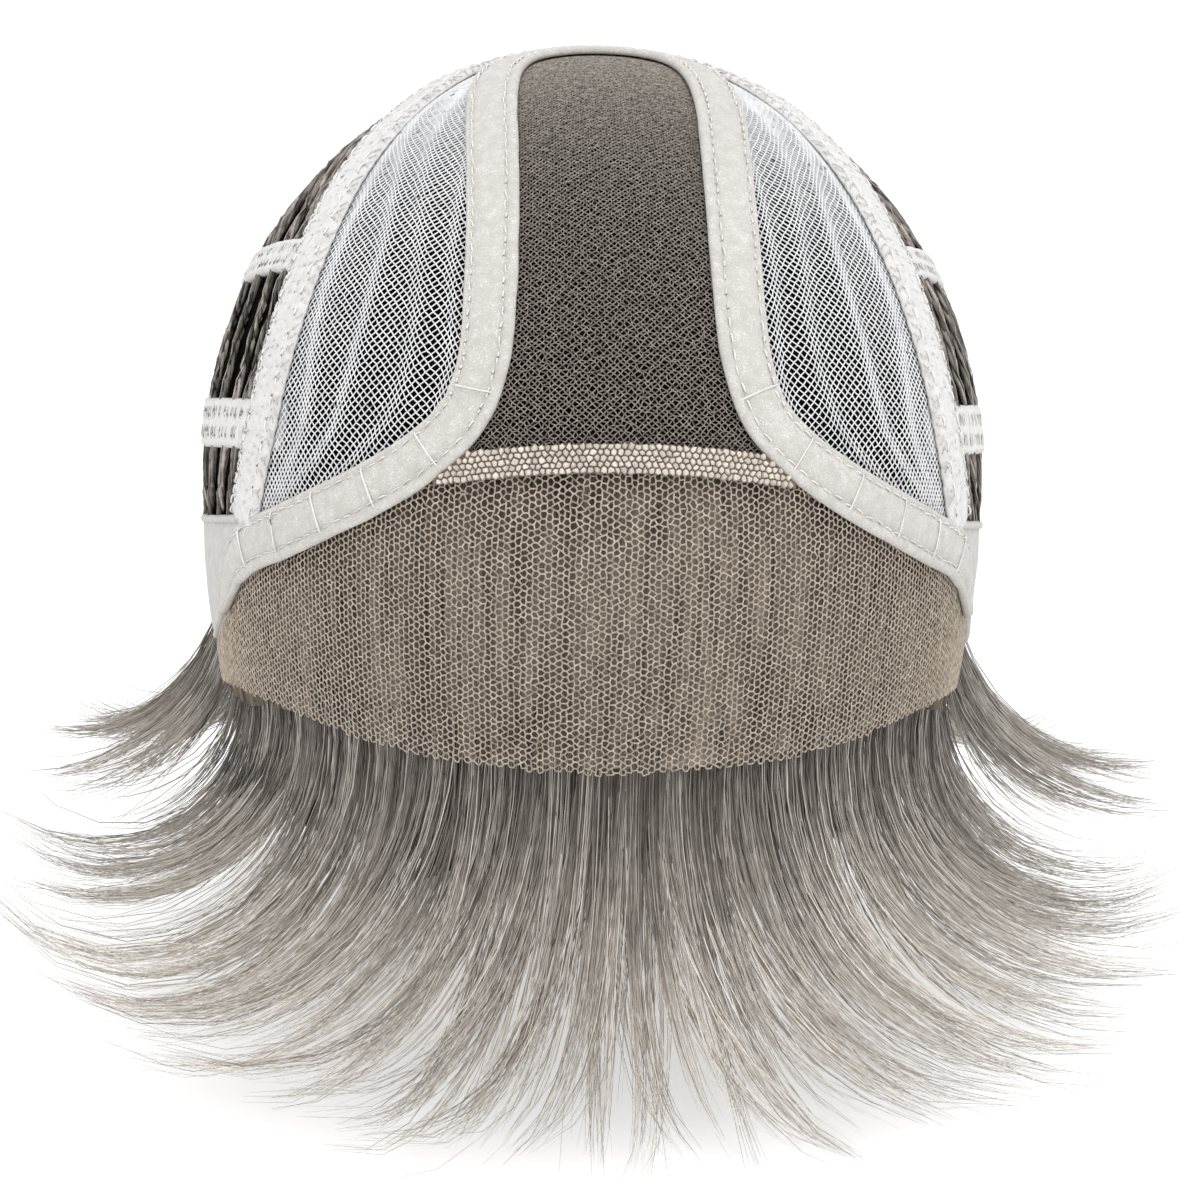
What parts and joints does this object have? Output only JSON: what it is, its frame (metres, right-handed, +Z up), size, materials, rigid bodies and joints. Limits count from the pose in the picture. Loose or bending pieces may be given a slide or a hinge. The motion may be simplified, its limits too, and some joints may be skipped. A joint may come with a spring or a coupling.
{
  "type": "lace front wig",
  "caption": "Short lace front wig turned inside out: net cap with lace front, monofilament top, felt tape and elastic bands over weft rows, hair flaring out under the rim.",
  "frame": {"origin": "inside of the cap's crown, on its inner face where it rests on the top of the head", "axes": "+Z up through the crown, -Y toward the front hairline, +X toward the right of the picture"},
  "size_m": [0.2381, 0.2762, 0.1889],
  "materials": {
    "lace": "open taupe hexagonal lace",
    "mono": "dark taupe monofilament net",
    "strip": "beige folded seam with a satin sheen",
    "felt": "off-white felted binding tape",
    "knit": "white knitted elastic",
    "mesh": "white open net",
    "weft": "dark sewn weft",
    "hair": "grey hair fibre, darker at the roots, silver at the tips"
  },
  "bodies": {
    "root": {"lace_front": "lace", "mono_top": "mono", "mesh_panel_left": "mesh", "mesh_panel_right": "mesh", "ear_tab_left": "knit", "ear_tab_right": "knit", "nape_band": "knit", "top_tape": "felt", "crown_ribbon": "knit", "seam_strip": "strip", "strap_upper_left": "knit", "strap_upper_right": "knit", "strap_lower_left": "knit", "strap_lower_right": "knit", "weft_01": "weft", "weft_02": "weft", "weft_03": "weft", "weft_04": "weft", "weft_05": "weft", "weft_06": "weft", "weft_07": "weft", "weft_08": "weft", "weft_09": "weft", "weft_10": "weft", "hair": "hair"}
  },
  "joints": []
}
